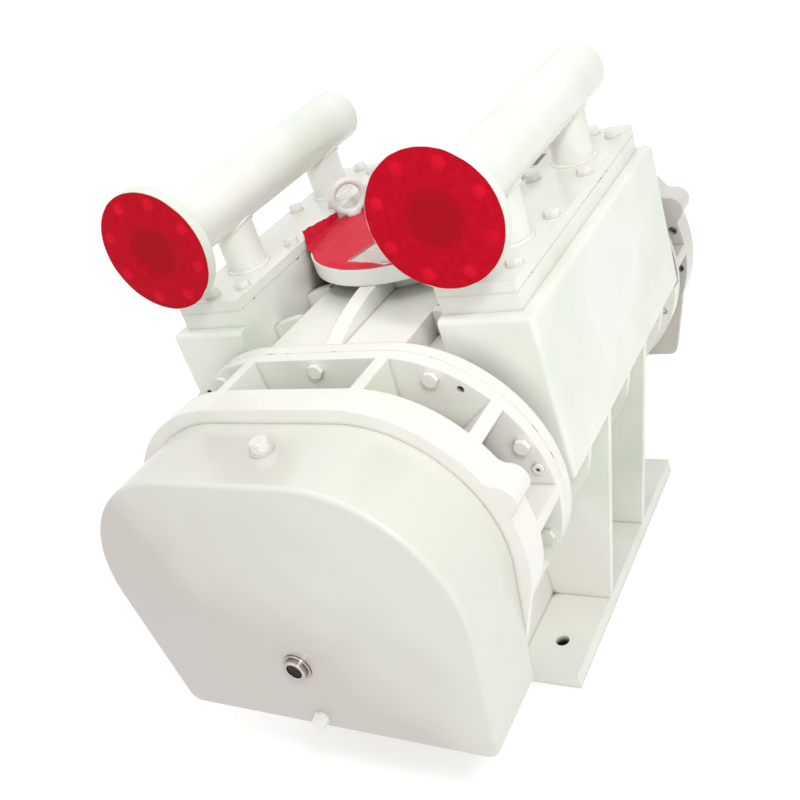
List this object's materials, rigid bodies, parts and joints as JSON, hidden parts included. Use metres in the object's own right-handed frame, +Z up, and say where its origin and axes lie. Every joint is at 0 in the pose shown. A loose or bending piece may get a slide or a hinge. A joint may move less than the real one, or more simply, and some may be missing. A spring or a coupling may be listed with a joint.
{
  "type": "roots blower",
  "caption": "Three-lobe roots blower with side air boxes, twin air pipes, a top inlet flange, a floor outlet and a gear case in front.",
  "frame": {"origin": "centre of the four foundation holes on the underside of the feet, straight below the inlet flange", "axes": "+Z up through the inlet flange, +Y towards the drive shaft's end, -Y towards the gear case, +X to the drive rotor's side"},
  "size_m": [0.766, 1.343, 1.095],
  "materials": {
    "painted": "glossy ivory enamel over cast iron and welded steel",
    "steel": "ground and oiled steel",
    "bearing": "polished bearing steel",
    "iron": "machined ductile iron",
    "chrome": "plated steel",
    "glass": "clear glass with oil behind it",
    "gasket": "pressed fibre sheet",
    "seal": "matt black rubber on a steel case"
  },
  "bodies": {
    "housing": {"casing": "painted", "inlet_port": "painted", "eye_bolts": "painted", "outlet_duct": "painted", "left_foot": "painted", "right_foot": "painted", "left_leg_webs": "painted", "right_leg_webs": "painted", "left_air_box": "painted", "right_air_box": "painted", "left_box_gasket": "gasket", "right_box_gasket": "gasket", "left_box_cover": "painted", "right_box_cover": "painted", "left_cover_bolts": "painted", "right_cover_bolts": "painted", "left_air_pipe": "painted", "right_air_pipe": "painted", "left_risers": "painted", "right_risers": "painted", "left_pipe_flange": "painted", "right_pipe_flange": "painted", "gear_side_plate": "painted", "drive_side_plate": "painted", "gear_side_bolts": "painted", "drive_side_bolts": "painted", "dowel_sleeves": "painted", "gear_cover": "painted", "gear_cover_gasket": "gasket", "gear_cover_bolts": "painted", "sight_glass_bezel": "chrome", "sight_glass_lens": "glass", "drain_plug": "painted", "filler_plug": "painted", "labyrinth_rings": "iron", "bearing_outer_rings": "bearing", "bearing_cap_bolts": "steel", "shaft_seal": "seal", "driven_gear_end_cap": "iron", "drive_gear_end_cap": "iron", "driven_drive_end_cap": "painted", "drive_drive_end_cap": "painted"},
    "drive_rotor_set": {"drive_shaft": "steel", "drive_rotor": "iron", "drive_rotor_plugs": "steel", "drive_timing_gear": "steel", "drive_gear_key": "steel", "drive_locknut": "steel", "drive_oil_slinger": "steel", "drive_inner_rings": "bearing", "drive_rollers": "bearing"},
    "driven_rotor_set": {"driven_shaft": "steel", "driven_rotor": "iron", "driven_rotor_plugs": "steel", "driven_timing_gear": "steel", "driven_gear_key": "steel", "driven_locknut": "steel", "driven_oil_slinger": "steel", "driven_inner_rings": "bearing", "driven_rollers": "bearing"}
  },
  "joints": [
    {"name": "drive_rotor_spin", "type": "hinge", "parent": "housing", "child": "drive_rotor_set", "pos_m": [0.115, 0, 0.535], "axis": [0, 1, 0], "continuous": true},
    {"name": "driven_rotor_spin", "type": "hinge", "parent": "housing", "child": "driven_rotor_set", "pos_m": [-0.115, 0, 0.535], "axis": [0, 1, 0], "continuous": true}
  ],
  "couplings": [
    {"joint": "driven_rotor_spin", "follows": "drive_rotor_spin", "ratio": -1}
  ]
}
